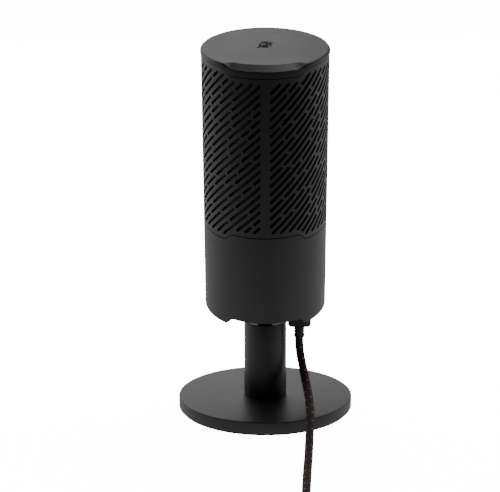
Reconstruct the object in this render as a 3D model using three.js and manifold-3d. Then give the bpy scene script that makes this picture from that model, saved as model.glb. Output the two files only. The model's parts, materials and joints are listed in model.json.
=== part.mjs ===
// A desktop microphone on a weighted round stand, with its data lead coiled in front of it.
// Millimetres, +Z up. The origin is the centre of the stand's underside.
// +Y is the front, which carries the dial; the back of the microphone faces -Y.
import * as THREE from 'three';
import { mergeVertices } from 'three/addons/utils/BufferGeometryUtils.js';
import Module from 'manifold-3d';

const wasm = await Module();
wasm.setup();

// ---------- driving dimensions ----------
const gap = 0.3; // clearance between neighbours that don't slide on each other
const slideGap = 0.1; // clearance of a pin or a shaft in its hole

const baseRadius = 47.37;
const baseTop = 7.66; // height of the disc's upper face above the table
const padThickness = 1.3;
const padInset = 1.2; // how far the pad stands back from the disc's edge
const baseEdge = 0.5; // chamfer of the disc

const postRadius = 11.5;
const postWall = 2.6;
const postTop = 49.5;

const pivotHeight = 68;
const leanDegrees = 13.8; // how far the microphone leans back as it stands

const tongueWidth = 8;
const knuckleRadius = 5.5;
const washerThickness = 0.8;
const earWidth = 4;
const flangeRadius = 12;
const flangeThickness = 2.7;
const studRadius = 4.7;
const studLength = 7;
const boltRadius = 2.5;

const bodyRadius = 32.5;
const shellWall = 2.2;
const seamHeight = 50.5; // the joint between the lower shell and the grille
const waveStep = 3.8; // how far the rim and the seams step in the front and back sectors
const waveStart = 31; // degrees from the middle of a sector
const waveEnd = 41;

const capRadius = bodyRadius + 0.3;
const capMiddle = 146.25; // height of the top face above the rim, on the axis
const capSlope = 0.0384; // the top face falls towards the front
const capBand = 2.3;
const capDip = 3.4; // how far the cap's lower edge dips at the back
const capWall = 2.4;
const skirtDepth = 3;
const facetDrop = 1.9;
const facetWidth = 5.6;
const facetRadius = capRadius - facetWidth;

const grilleWall = 1.6;
const slotWidth = 1.5;
const slotLength = 12;
const slotPitch = 4.57; // between slot lines, measured along the axis
const slotsCut = 6; // every sixth line of the moulding is opened, which keeps the solid light
const slotBridge = 1.8;
const ribHalf = 3; // half the width of the plain rib, measured round the wall
const grilleBorder = 3.6;

const linerWall = 0.8;
const linerInset = 0.9; // the space between the grille and the liner
const linerRadius = bodyRadius - grilleWall - linerInset;
const linerLap = 1.8; // how far the liner reaches below the seam
const plateHeight = 18; // underside of the bottom plate above the rim
const plateThickness = 3;
const pivotBelowPlate = 10.08;
const pivotAboveRim = plateHeight - pivotBelowPlate;

const dialRadius = 10;
const dialDepth = 5.6;
const dialProud = 6.1; // how far the dial's face stands out of the wall
const dialFace = bodyRadius + dialProud;
const bezelWall = 1.3;
const bezelRadius = dialRadius + gap + bezelWall;
const bezelBelowLiner = 0.6;
const dialHeight = seamHeight - linerLap - bezelRadius - bezelBelowLiner;
const bezelProud = 1.1;
const bezelFace = bodyRadius + bezelProud;
const dialTravel = 0.6;
const encoderDepth = 11.4;
const encoderFront = dialFace - 2 * dialDepth;
const encoderBack = encoderFront - encoderDepth;
const dialShaftRadius = 2.9;

const capsuleRadius = 7;
const capsuleDepth = 5;
const capsuleHeight = 112;

const plugBesidePost = 7; // from the post's side to the middle of the plug
const plugX = postRadius + plugBesidePost;
const plugY = -9;
const plugWidth = 12.5;
const plugDepth = 7.5;
const plugBottom = -10;
const tipWidth = 8.3;
const tipDepth = 2.4;
const tipLength = 6.2;
const receptacleWall = 0.7;
const bootRadius = 2.75;
const bootLength = 7.2;

const leadDiameter = 4.5;
const coilInner = 17.3; // radius of the innermost turn
const coilPitch = 4.65;
const coilTurns = 3.5; // turns in each of the two layers
const coilX = -14.4;
const coilY = -186;

const farPlugLength = 28;
const farPlugWidth = 15;
const farPlugHeight = 7.6;
const farShellWidth = 12;
const farShellHeight = 4.5;
const farShellLength = 12;
const farBootLength = 9;

// ---------- materials ----------
const satinBlack = new THREE.MeshStandardMaterial({ color: 0x1c1c1d, roughness: 0.55 });
const matteBlack = new THREE.MeshStandardMaterial({ color: 0x161616, roughness: 0.75 });
const baseBlack = new THREE.MeshStandardMaterial({ color: 0x202021, roughness: 0.5, metalness: 0.3 });
const rubber = new THREE.MeshStandardMaterial({ color: 0x0d0d0d, roughness: 0.95 });
const steel = new THREE.MeshStandardMaterial({ color: 0x9a9a9c, roughness: 0.35, metalness: 1 });
const darkSteel = new THREE.MeshStandardMaterial({ color: 0x2a2a2b, roughness: 0.4, metalness: 0.9 });
const brass = new THREE.MeshStandardMaterial({ color: 0xb08d4a, roughness: 0.4, metalness: 1 });
const foam = new THREE.MeshStandardMaterial({ color: 0x090909, roughness: 1 });
const board = new THREE.MeshStandardMaterial({ color: 0x123a22, roughness: 0.5 });
const frameGrey = new THREE.MeshStandardMaterial({ color: 0x3a3a3c, roughness: 0.7 });
const clear = new THREE.MeshStandardMaterial({ color: 0xd8d8d8, roughness: 0.4 });
const braid = new THREE.MeshStandardMaterial({ color: 0x171717, roughness: 0.9 });
const film = new THREE.MeshStandardMaterial({ color: 0xb5793a, roughness: 0.5 });

// ---------- helpers ----------
const model = new THREE.Group();
const tilting = new THREE.Group(); // everything that leans with the microphone
tilting.position.z = pivotHeight;
tilting.rotation.x = THREE.MathUtils.degToRad(leanDegrees);
const body = new THREE.Group(); // the same, with heights measured from the lower rim
body.position.z = -pivotAboveRim;
tilting.add(body);
model.add(tilting);

function addPiece(parent, name, geometry, material) {
  const piece = new THREE.Mesh(geometry, material);
  piece.name = name;
  parent.add(piece);
  return piece;
}

function toSolid(geometry) {
  const bare = geometry.clone();
  bare.deleteAttribute('normal');
  bare.deleteAttribute('uv');
  const merged = mergeVertices(bare, 1e-4);
  return new wasm.Manifold(new wasm.Mesh({
    numProp: 3,
    vertProperties: new Float32Array(merged.attributes.position.array),
    triVerts: new Uint32Array(merged.index.array),
  }));
}

function toGeometry(solid) {
  const mesh = solid.getMesh();
  const geometry = new THREE.BufferGeometry();
  geometry.setAttribute('position', new THREE.BufferAttribute(mesh.vertProperties, 3));
  geometry.setIndex(new THREE.BufferAttribute(mesh.triVerts, 1));
  return geometry;
}

function cut(geometry, ...cutters) {
  let solid = toSolid(geometry);
  for (const cutter of cutters) solid = solid.subtract(toSolid(cutter));
  return toGeometry(solid);
}

function join(geometry, ...others) {
  let solid = toSolid(geometry);
  for (const other of others) solid = solid.add(toSolid(other));
  return toGeometry(solid);
}

// A round solid about Z whose section can change with the angle from the back (-Y) centre.
// sectionAt(degrees) gives [radius, height] points, counter-clockwise, as a closed ring or
// from the axis to the axis.
function roundBy(sectionAt, segments) {
  const first = sectionAt(0);
  const points = first.map(([r, z]) => new THREE.Vector2(r, z));
  const geometry = new THREE.LatheGeometry(points, segments);
  const position = geometry.attributes.position;
  for (let i = 0; i < position.count; i++) {
    const segment = Math.floor(i / first.length) % segments;
    const degrees = (segment * 360) / segments;
    const [r, z] = sectionAt(degrees)[i % first.length];
    const angle = THREE.MathUtils.degToRad(degrees);
    position.setXYZ(i, r * Math.sin(angle), z, r * Math.cos(angle));
  }
  return geometry.rotateX(Math.PI / 2);
}

function round(section, segments = 32) {
  return roundBy(() => section, segments);
}

function disc(radius, bottom, top, segments = 32) {
  return round([[0, bottom], [radius, bottom], [radius, top], [0, top]], segments);
}

function ring(inner, outer, bottom, top, segments = 32) {
  return round([[inner, bottom], [outer, bottom], [outer, top], [inner, top], [inner, bottom]], segments);
}

function block(width, depth, height, x, y, z) {
  return new THREE.BoxGeometry(width, depth, height).translate(x, y, z + height / 2);
}

function along(geometry, direction) {
  if (direction === 'y') return geometry.rotateX(-Math.PI / 2);
  return geometry.rotateY(Math.PI / 2);
}

function roundedBlock(width, depth, height, corner, x, y, z) {
  const w = width / 2;
  const d = depth / 2;
  const outline = new THREE.Shape();
  outline.moveTo(-w + corner, -d);
  outline.lineTo(w - corner, -d);
  outline.absarc(w - corner, -d + corner, corner, -Math.PI / 2, 0);
  outline.lineTo(w, d - corner);
  outline.absarc(w - corner, d - corner, corner, 0, Math.PI / 2);
  outline.lineTo(-w + corner, d);
  outline.absarc(-w + corner, d - corner, corner, Math.PI / 2, Math.PI);
  outline.lineTo(-w, -d + corner);
  outline.absarc(-w + corner, -d + corner, corner, Math.PI, 1.5 * Math.PI);
  const options = { depth: height, bevelEnabled: false, curveSegments: 4 };
  return new THREE.ExtrudeGeometry(outline, options).translate(x, y, z);
}

// 1 inside a sector round the middle of the front or the back, 0 outside, and smooth between.
function wave(degrees, bothSides) {
  let fromBack = Math.abs(((degrees + 180) % 360) - 180);
  if (bothSides) fromBack = Math.min(fromBack, 180 - fromBack);
  return 1 - THREE.MathUtils.smoothstep(fromBack, waveStart, waveEnd);
}

function depthAt(radius, degrees) {
  return -radius * Math.cos(THREE.MathUtils.degToRad(degrees));
}

// ---------- heights shared by the lower shell, the grille and the cap ----------
const rimAt = (degrees) => waveStep * wave(degrees, true);
const seamAt = (degrees) => seamHeight + waveStep * wave(degrees, true);
const capEdgeAt = (degrees, radius) => (
  capMiddle - capBand - capSlope * depthAt(radius, degrees) - capDip * wave(degrees, false)
);

// ---------- stand ----------
const screwHead = { radius: 5.5, height: 3 };
const screwShank = { radius: 3, length: 11 };
const screwBottom = padThickness + gap;
const counterboreTop = screwBottom + screwHead.height + 0.8 + 2 * gap;

function makeFootPad() {
  return disc(baseRadius - padInset, 0, padThickness, 48);
}

function makeBasePlate() {
  const plate = round([
    [0, padThickness],
    [baseRadius - baseEdge, padThickness],
    [baseRadius, padThickness + baseEdge],
    [baseRadius, baseTop - baseEdge],
    [baseRadius - baseEdge, baseTop],
    [0, baseTop],
  ], 64);
  const headRoom = disc(screwHead.radius + 1, padThickness - 1, counterboreTop, 32);
  const shankRoom = disc(screwShank.radius + gap, padThickness, baseTop + 1, 32);
  return cut(plate, headRoom, shankRoom);
}

function makeBaseScrew() {
  const head = disc(screwHead.radius, screwBottom, screwBottom + screwHead.height, 16);
  const shankTop = screwBottom + screwHead.height + screwShank.length;
  const shank = disc(screwShank.radius, screwBottom + 1, shankTop, 16);
  const socket = new THREE.CylinderGeometry(2.3, 2.3, 2, 6).rotateX(Math.PI / 2);
  return cut(join(head, shank), socket.translate(0, 0, screwBottom));
}

function makeBaseWasher() {
  const bottom = screwBottom + screwHead.height + gap;
  return ring(screwShank.radius + gap, screwHead.radius, bottom, bottom + 0.8, 16);
}

const postBore = postRadius - postWall;

function makePost() {
  return ring(postBore, postRadius, baseTop, postTop, 40);
}

function makePostAnchor() {
  return ring(screwShank.radius + slideGap, postBore - slideGap, baseTop + gap, baseTop + 12, 32);
}

function makeTongue() {
  const spigot = disc(postBore - slideGap, postTop - 14, postTop, 32);
  const neck = block(tongueWidth, 2 * knuckleRadius, pivotHeight - postTop + 1, 0, 0, postTop - 1);
  const eye = along(disc(knuckleRadius, -tongueWidth / 2, tongueWidth / 2, 32), 'x');
  const boltHole = along(disc(boltRadius + slideGap, -tongueWidth, tongueWidth, 24), 'x');
  eye.translate(0, 0, pivotHeight);
  boltHole.translate(0, 0, pivotHeight);
  return cut(join(spigot, neck, eye), boltHole);
}

addPiece(model, 'foot_pad', makeFootPad(), rubber);
addPiece(model, 'base_plate', makeBasePlate(), baseBlack);
addPiece(model, 'base_screw', makeBaseScrew(), darkSteel);
addPiece(model, 'base_screw_washer', makeBaseWasher(), steel);
addPiece(model, 'stand_post', makePost(), baseBlack);
addPiece(model, 'post_anchor', makePostAnchor(), darkSteel);
addPiece(model, 'hinge_tongue', makeTongue(), darkSteel);

// ---------- hinge, which tilts with the microphone ----------
const washerSpace = washerThickness + 2 * slideGap;
const earInner = tongueWidth / 2 + washerSpace;
const earOuter = earInner + earWidth;
const flangeTop = plateHeight - pivotAboveRim - gap;
const flangeBottom = flangeTop - flangeThickness;

function makeFork() {
  let fork = disc(flangeRadius, flangeBottom, flangeTop, 32);
  const stud = disc(studRadius, flangeTop - 1, flangeTop + studLength, 16);
  const parts = [stud];
  for (const side of [-1, 1]) {
    const middle = side * (earInner + earOuter) / 2;
    parts.push(block(earWidth, 2 * knuckleRadius, flangeBottom + 1, middle, 0, 0));
    const end = along(disc(knuckleRadius, -earWidth / 2, earWidth / 2, 32), 'x');
    parts.push(end.translate(middle, 0, 0));
  }
  fork = join(fork, ...parts);
  return cut(fork, along(disc(boltRadius + slideGap, -earOuter - 1, earOuter + 1, 24), 'x'));
}

function makeHingeBolt() {
  const head = disc(knuckleRadius - 1.5, earOuter + slideGap, earOuter + 2.3, 16);
  const shank = disc(boltRadius, -earOuter - 3, earOuter + 1, 16);
  return along(join(head, shank), 'x');
}

function makeHingeNut() {
  const nut = new THREE.CylinderGeometry(4.4, 4.4, 2.4, 6).rotateX(Math.PI / 2);
  const hole = disc(boltRadius + slideGap, -3, 3, 16);
  return along(cut(nut, hole), 'x').translate(-earOuter - slideGap - 1.2, 0, 0);
}

function makeFrictionWasher(side) {
  const washer = along(ring(boltRadius + slideGap, knuckleRadius - 0.3, 0, washerThickness, 24), 'x');
  const start = tongueWidth / 2 + slideGap;
  return washer.translate(side > 0 ? start : -start - washerThickness, 0, 0);
}

addPiece(tilting, 'hinge_fork', makeFork(), darkSteel);
addPiece(tilting, 'hinge_bolt', makeHingeBolt(), steel);
addPiece(tilting, 'hinge_nut', makeHingeNut(), steel);
addPiece(tilting, 'friction_washer_left', makeFrictionWasher(-1), brass);
addPiece(tilting, 'friction_washer_right', makeFrictionWasher(1), brass);

// ---------- casing ----------
const bodySegments = 60;
const dialHoleRadius = bezelRadius + 1;

function makeLowerShell() {
  const inner = bodyRadius - shellWall;
  const shell = roundBy((degrees) => [
    [inner, rimAt(degrees)],
    [bodyRadius, rimAt(degrees)],
    [bodyRadius, seamAt(degrees) - gap / 2],
    [inner, seamAt(degrees) - gap / 2],
    [inner, rimAt(degrees)],
  ], bodySegments);
  const dialHole = along(disc(dialHoleRadius, encoderBack, dialFace + 1, 40), 'y').translate(0, 0, dialHeight);
  return cut(shell, dialHole);
}

const bottomScrewRadius = bodyRadius - shellWall - 2.8;
const bottomScrewAngles = [50, 130, 200, 285];
const jackX = -plugX;

function makeBottomPlate() {
  const plate = disc(bodyRadius - shellWall - gap, plateHeight, plateHeight + plateThickness, 48);
  const middle = plateHeight - 1;
  const holes = [disc(bushOuter + gap, middle, middle + 6, 32)];
  const socketWidth = tipWidth + 2 * (receptacleWall + slideGap + gap);
  const socketDepth = tipDepth + 2 * (receptacleWall + slideGap + gap);
  holes.push(roundedBlock(socketWidth, socketDepth, 6, 1, plugX, plugY, middle));
  holes.push(disc(jackBarrel + gap, middle, middle + 6, 16).translate(jackX, plugY, 0));
  for (const degrees of bottomScrewAngles) {
    const angle = THREE.MathUtils.degToRad(degrees);
    const hole = disc(bottomScrew.shank + gap, middle, middle + 6, 12);
    hole.translate(bottomScrewRadius * Math.cos(angle), bottomScrewRadius * Math.sin(angle), 0);
    holes.push(hole);
  }
  return cut(plate, ...holes, bezelRoom());
}

// Room for the bezel in whatever a larger dial would reach.
function bezelRoom() {
  return along(disc(bezelRadius + gap, encoderFront, bezelFace, 40), 'y').translate(0, 0, dialHeight);
}

const bushOuter = 8.1;
const jackBarrel = 3.9;
const jackHousing = 7.6;
const bottomScrew = { shank: 1, head: 1.9, headHeight: 1.2, length: 5 };

function makeStandBush() {
  const inner = studRadius + gap;
  const plateTop = plateHeight + plateThickness;
  return round([
    [inner, plateHeight],
    [bushOuter, plateHeight],
    [bushOuter, plateTop + gap],
    [bushOuter + 2.6, plateTop + gap],
    [bushOuter + 2.6, plateTop + 2],
    [bushOuter, plateTop + 2],
    [bushOuter, plateTop + 6],
    [inner, plateTop + 6],
    [inner, plateHeight],
  ], 32);
}

function makeBottomScrew(degrees) {
  const top = plateHeight - gap;
  const head = disc(bottomScrew.head, top - bottomScrew.headHeight, top, 12);
  const shank = disc(bottomScrew.shank, top - 0.5, top + bottomScrew.length, 12);
  const angle = THREE.MathUtils.degToRad(degrees);
  const screw = join(head, shank);
  return screw.translate(bottomScrewRadius * Math.cos(angle), bottomScrewRadius * Math.sin(angle), 0);
}

function slotCutters() {
  const cutters = [];
  const halfTurn = Math.PI * bodyRadius;
  const reach = halfTurn / 2 - ribHalf; // arc from the middle of a side to the rib's edge
  const half = slotLength / 2;
  const step = (slotLength + slotBridge) * Math.SQRT1_2;
  const linePitch = slotPitch * slotsCut;
  for (const side of [-1, 1]) {
    for (let line = -20; line < 40; line++) {
      for (let along45 = -40; along45 < 40; along45++) {
        const arc = (along45 + (line % 2) / 2) * step;
        const height = seamHeight + line * linePitch + arc;
        const ends = half * Math.SQRT1_2;
        const degrees = side * 90 + THREE.MathUtils.radToDeg(arc / bodyRadius);
        const low = seamAt(degrees) + grilleBorder + ends;
        const high = capEdgeAt(degrees, bodyRadius) - grilleBorder - ends;
        if (Math.abs(arc) + ends > reach || height < low || height > high) continue;
        const slot = new THREE.BoxGeometry(slotWidth, 6, slotLength);
        slot.rotateY(Math.PI / 4);
        slot.translate(0, -bodyRadius, 0);
        slot.rotateZ(THREE.MathUtils.degToRad(degrees));
        cutters.push(slot.translate(0, 0, height));
      }
    }
  }
  return cutters;
}

function makeGrille() {
  const inner = bodyRadius - grilleWall;
  const wall = roundBy((degrees) => [
    [inner, seamAt(degrees) + gap / 2],
    [bodyRadius, seamAt(degrees) + gap / 2],
    [bodyRadius, capEdgeAt(degrees, bodyRadius) - gap / 2],
    [inner, capEdgeAt(degrees, inner) - gap / 2],
    [inner, seamAt(degrees) + gap / 2],
  ], bodySegments);
  return cut(wall, ...slotCutters());
}

function makeCap() {
  const skirtOuter = bodyRadius - grilleWall - gap;
  const skirtInner = skirtOuter - 1.6;
  const fall = (radius, degrees) => -capSlope * depthAt(radius, degrees);
  const cap = roundBy((degrees) => {
    const back = wave(degrees, false);
    const drop = facetDrop * back;
    const facet = THREE.MathUtils.lerp(capRadius - 1.3, facetRadius, back);
    const topAt = (radius) => capMiddle + fall(radius, degrees);
    const edge = capEdgeAt(degrees, capRadius) + gap / 2;
    const skirtBottom = capEdgeAt(degrees, skirtOuter) - skirtDepth;
    const ceiling = capMiddle - capWall - drop;
    return [
      [0, capMiddle - capWall],
      [facetRadius - 2, capMiddle - capWall + fall(facetRadius - 2, degrees)],
      [skirtInner, ceiling + fall(skirtInner, degrees)],
      [skirtInner, skirtBottom],
      [skirtOuter, skirtBottom],
      [skirtOuter, edge],
      [capRadius, edge],
      [capRadius, topAt(capRadius) - 0.9 - drop],
      [capRadius - 0.4, topAt(capRadius) - 0.3 - drop],
      [facet, topAt(facet)],
      [0, capMiddle],
    ];
  }, bodySegments);
  return cut(cap, markOutline(gap).translate(0, 0, capMiddle - markDepth - gap));
}

// A plain microphone pictogram: a rounded head on a stem and a foot, read from the front.
const markDepth = 0.6;

function markOutline(grow) {
  const head = roundedBlock(3 + 2 * grow, 5 + 2 * grow, markDepth + 2, 1.4, 0, -1.2, 0);
  const stem = block(1 + 2 * grow, 3, markDepth + 2, 0, 2.2 + grow / 2, 0);
  const foot = block(4 + 2 * grow, 1 + 2 * grow, markDepth + 2, 0, 3.8, 0);
  return join(head, stem, foot);
}

function makeMark() {
  const trim = block(20, 20, 5, 0, 0, markDepth);
  return cut(markOutline(0), trim).translate(0, 0, capMiddle - markDepth);
}

function makeLiner() {
  return ring(linerRadius - linerWall, linerRadius, seamHeight - linerLap, capMiddle - 9.5, 40);
}

addPiece(body, 'lower_shell', makeLowerShell(), satinBlack);
addPiece(body, 'bottom_plate', makeBottomPlate(), matteBlack);
addPiece(body, 'stand_bush', makeStandBush(), steel);
bottomScrewAngles.forEach((degrees, index) => {
  addPiece(body, `bottom_screw_${index + 1}`, makeBottomScrew(degrees), darkSteel);
});
addPiece(body, 'grille', makeGrille(), satinBlack);
addPiece(body, 'foam_liner', makeLiner(), foam);
addPiece(body, 'top_cap', makeCap(), satinBlack);
addPiece(body, 'mute_mark', makeMark(), matteBlack);

// ---------- inner frame, boards and capsules ----------
const frameBottom = plateHeight + plateThickness + gap;
const frameOuter = linerRadius - linerWall - 0.6;
const frameTop = capMiddle - 12;
const barDepth = 2.7;
const barHeights = [60, 84];
const boardY = barDepth / 2 + gap;
const boardThickness = 1.6;
const cradleBottom = capsuleHeight - 13;
const cradleBar = 4;
const cradleBarDepth = 6;
const boardScrewX = 14;

function makeInnerFrame() {
  const uprightX = frameOuter - 2.6;
  let frame = ring(frameOuter - 2.6, frameOuter, frameBottom, frameBottom + 3, 36);
  const parts = [ring(frameOuter - 4.2, frameOuter, frameTop - 3, frameTop, 36)];
  for (const side of [-1, 1]) {
    parts.push(block(2.2, 9, frameTop - frameBottom - 1, side * uprightX, 0, frameBottom + 0.5));
  }
  for (const height of barHeights) {
    parts.push(block(2 * uprightX, barDepth, 4, 0, 0, height));
  }
  parts.push(block(2 * uprightX, cradleBarDepth, cradleBar, 0, 0, cradleBottom - gap - cradleBar));
  frame = join(frame, ...parts);
  const holes = bottomScrewAngles.map((degrees) => {
    const angle = THREE.MathUtils.degToRad(degrees);
    const hole = disc(bottomScrew.shank + gap, frameBottom - 1, frameBottom + 4, 12);
    return hole.translate(bottomScrewRadius * Math.cos(angle), bottomScrewRadius * Math.sin(angle), 0);
  });
  for (const side of [-1, 1]) {
    const hole = along(disc(bottomScrew.shank + gap, -4, 4, 12), 'y');
    holes.push(hole.translate(side * boardScrewX, 0, barHeights[1] + 2));
  }
  const room = 2 * (receptacleWall + slideGap + gap);
  holes.push(roundedBlock(tipWidth + room, tipDepth + room, 12, 1, plugX, plugY, plateHeight));
  const jackRoom = jackHousing + 2 * gap;
  holes.push(block(jackRoom, jackRoom, 14, jackX, plugY, plateHeight));
  return cut(frame, ...holes, bezelRoom());
}

function makeMainBoard() {
  const plain = block(40, boardThickness, 60, 0, boardY + boardThickness / 2, 32);
  const holes = [-1, 1].map((side) => {
    const hole = along(disc(bottomScrew.shank + gap, -1, 8, 12), 'y');
    return hole.translate(side * boardScrewX, 0, barHeights[1] + 2);
  });
  return cut(plain, ...holes);
}

function makeBoardScrew(side) {
  const face = boardY + boardThickness + gap;
  const head = disc(bottomScrew.head, face, face + bottomScrew.headHeight, 12);
  const shank = disc(bottomScrew.shank, face - 4, face + 0.5, 12);
  return along(join(head, shank), 'y').translate(side * boardScrewX, 0, barHeights[1] + 2);
}

function makeCradle() {
  const cradle = roundedBlock(30, 14, 26, 3, 0, 0, cradleBottom);
  const hole = along(disc(capsuleRadius + gap, -8, 8, 32), 'y').translate(0, 0, capsuleHeight);
  return cut(cradle, hole);
}

function makeCapsule(side) {
  const start = side > 0 ? 1.4 : -1.4 - capsuleDepth;
  const can = disc(capsuleRadius, start, start + capsuleDepth, 32);
  const face = side > 0 ? start + capsuleDepth : start;
  const mouth = disc(capsuleRadius - 1.5, face - 0.5, face + 0.5, 16);
  return along(cut(can, mouth), 'y').translate(0, 0, capsuleHeight);
}

addPiece(body, 'inner_frame', makeInnerFrame(), frameGrey);
addPiece(body, 'main_board', makeMainBoard(), board);
addPiece(body, 'board_screw_left', makeBoardScrew(-1), steel);
addPiece(body, 'board_screw_right', makeBoardScrew(1), steel);
addPiece(body, 'capsule_cradle', makeCradle(), rubber);
addPiece(body, 'front_capsule', makeCapsule(1), steel);
addPiece(body, 'rear_capsule', makeCapsule(-1), steel);
addPiece(body, 'touch_board', disc(frameOuter - 1.5, frameTop + gap, frameTop + gap + 1.6, 32), board);
const ribbonX = 18;
const ribbonBottom = 86;
const ribbonY = boardY + boardThickness + gap + 0.2;
const ribbon = block(4, 0.4, frameTop - ribbonBottom, ribbonX, ribbonY, ribbonBottom);
addPiece(body, 'touch_ribbon', ribbon, film);

// ---------- sockets ----------
function makeReceptacle() {
  const room = 2 * (receptacleWall + slideGap);
  const bottom = plateHeight + 0.2;
  const shell = roundedBlock(tipWidth + room, tipDepth + room, 9, 1, plugX, plugY, bottom);
  const mouth = roundedBlock(
    tipWidth + 2 * slideGap, tipDepth + 2 * slideGap, tipLength + 2, 0.8, plugX, plugY, bottom - 1,
  );
  return cut(shell, mouth);
}

function makeJack() {
  const barrel = disc(jackBarrel, plateHeight, plateHeight + plateThickness + 1, 16);
  const housing = block(jackHousing, jackHousing, 12, 0, 0, plateHeight + plateThickness + gap);
  const bore = disc(1.8, plateHeight - 1, plateHeight + 12, 12);
  return cut(join(barrel, housing), bore).translate(jackX, plugY, 0);
}

addPiece(body, 'data_receptacle', makeReceptacle(), steel);
addPiece(body, 'headphone_jack', makeJack(), matteBlack);

// ---------- dial ----------
const collarInner = dialShaftRadius + slideGap;
const collarOuter = collarInner + 1.5;
const dialBack = dialFace - dialDepth;

function atDial(geometry) {
  return along(geometry, 'y').translate(0, 0, dialHeight);
}

function makeBezel() {
  return atDial(ring(dialRadius + gap, bezelRadius, encoderFront + gap, bezelFace, 40));
}

function makeLightRing() {
  const front = dialBack - dialTravel - gap;
  return atDial(ring(collarOuter + 1, dialRadius, front - 1.4, front, 48));
}

function makeEncoder() {
  const housing = block(13, encoderFront - encoderBack, 13, 0, (encoderBack + encoderFront) / 2, -6.5);
  const bore = along(disc(collarOuter + gap, encoderBack + 2, encoderFront + 1, 32), 'y');
  return cut(housing, bore).translate(0, 0, dialHeight);
}

function makeDial() {
  const dial = round([
    [0, dialBack],
    [dialRadius - 0.4, dialBack],
    [dialRadius, dialBack + 0.4],
    [dialRadius, dialFace - 0.7],
    [dialRadius - 0.7, dialFace],
    [0, dialFace],
  ], 32);
  return atDial(cut(dial, disc(dialShaftRadius + slideGap, dialBack - 1, dialBack + 3.2, 16)));
}

function makeDialShaft() {
  return atDial(disc(dialShaftRadius, encoderBack + 3.5, dialBack + 3, 16));
}

function makeDialCollar() {
  return atDial(ring(collarInner, collarOuter, encoderBack + 4.5, encoderFront - 1, 16));
}

addPiece(body, 'dial_bezel', makeBezel(), matteBlack);
addPiece(body, 'dial_light_ring', makeLightRing(), clear);
addPiece(body, 'dial_encoder', makeEncoder(), frameGrey);
addPiece(body, 'dial_board', block(24, 1.6, 24, 0, encoderBack - gap - 0.8, dialHeight - 12), board);
addPiece(body, 'dial', makeDial(), satinBlack);
addPiece(body, 'dial_shaft', makeDialShaft(), steel);
addPiece(body, 'dial_collar', makeDialCollar(), brass);

// ---------- data lead: the plug in the microphone ----------
const plugTop = plateHeight - gap;
const plugBody = roundedBlock(plugWidth, plugDepth, plugTop - plugBottom, 2.6, plugX, plugY, plugBottom);
const tip = roundedBlock(tipWidth, tipDepth, tipLength, 1, plugX, plugY, plateHeight);
const bootTop = plugBottom - gap;
const boot = disc(bootRadius, bootTop - bootLength, bootTop, 16).translate(plugX, plugY, 0);
addPiece(body, 'lead_plug', plugBody, rubber);
addPiece(body, 'lead_plug_tip', tip, steel);
addPiece(body, 'lead_boot', boot, rubber);

// ---------- data lead: the free length, which lies on the table ----------
const leadPoints = [
  [18.4, -2.7, 40.8],
  [18.6, -1.3, 35.5],
  [19.1, -1.3, 31.0],
  [20.0, -3.0, 26.4],
  [21.0, -6.6, 22.2],
  [21.9, -12.0, 18.7],
  [22.7, -18.5, 16.2],
  [23.3, -26.0, 13.9],
  [23.6, -34.0, 12.0],
  [23.6, -42.0, 10.5],
  [23.3, -51.0, 8.4],
  [22.8, -61.0, 5.9],
  [22.3, -71.0, 3.9],
  [21.8, -82.0, 2.7],
  [21.1, -94.0, 2.35],
  [20.3, -110.0, 2.35],
  [19.5, -129.0, 2.35],
  [19.2, -148.0, 2.35],
  [19.2, -167.5, 2.35],
];

function circleOutline(radius, sides) {
  const outline = new THREE.Shape();
  for (let i = 0; i < sides; i++) {
    const angle = (2 * Math.PI * i) / sides;
    if (i === 0) outline.moveTo(radius, 0);
    else outline.lineTo(radius * Math.cos(angle), radius * Math.sin(angle));
  }
  outline.closePath();
  return outline;
}

function makeTube(points, radius, steps) {
  const path = new THREE.CatmullRomCurve3(points.map((p) => new THREE.Vector3(...p)));
  const options = { steps, bevelEnabled: false, extrudePath: path };
  return new THREE.ExtrudeGeometry(circleOutline(radius, 8), options);
}

const coilOuter = coilInner + coilTurns * coilPitch;
const tailRadius = coilOuter + coilPitch;
const layFloor = leadDiameter / 2 + 0.05;

function makeCoil() {
  const bulk = leadDiameter / 2 + 0.05;
  const top = layFloor + coilPitch + bulk;
  return ring(coilInner - bulk, coilOuter + bulk, 0.05, top, 40).translate(coilX, coilY, 0);
}

const tailStart = -20; // degrees round the coil, where the tail comes down beside it
const tailEnd = -90;
const tailRun = 14;

function tailPoints() {
  const points = [];
  for (let degrees = tailStart; degrees >= tailEnd; degrees -= 14) {
    const angle = THREE.MathUtils.degToRad(degrees);
    const x = coilX + (tailRadius + gap) * Math.cos(angle);
    points.push([x, coilY + (tailRadius + gap) * Math.sin(angle), layFloor]);
  }
  points.push([coilX - tailRun, coilY - tailRadius - gap, layFloor + 0.4]);
  return points;
}

const leadTube = makeTube(leadPoints, leadDiameter / 2, 40);
addPiece(model, 'lead', leadTube, braid);
addPiece(model, 'lead_coil', makeCoil(), braid);
addPiece(model, 'lead_tail', makeTube(tailPoints(), leadDiameter / 2, 14), braid);

// ---------- data lead: the plug at its far end, lying on the table ----------
function makeLying(width, height, length, corner, startX) {
  const lying = roundedBlock(width, height, length, corner, 0, 0, 0);
  lying.rotateZ(Math.PI / 2);
  lying.rotateY(-Math.PI / 2);
  return lying.translate(startX, coilY - tailRadius - gap, farPlugHeight / 2 + 0.05);
}

const farBootStart = coilX - tailRun - gap;
const farPlugStart = farBootStart - farBootLength - gap;
const farShellStart = farPlugStart - farPlugLength - gap;

function makeFarBoot() {
  const boots = round([
    [0, 0],
    [2.9, 0],
    [3.4, farBootLength],
    [0, farBootLength],
  ], 16);
  boots.rotateY(-Math.PI / 2);
  return boots.translate(farBootStart, coilY - tailRadius - gap, farPlugHeight / 2 + 0.05);
}

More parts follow.
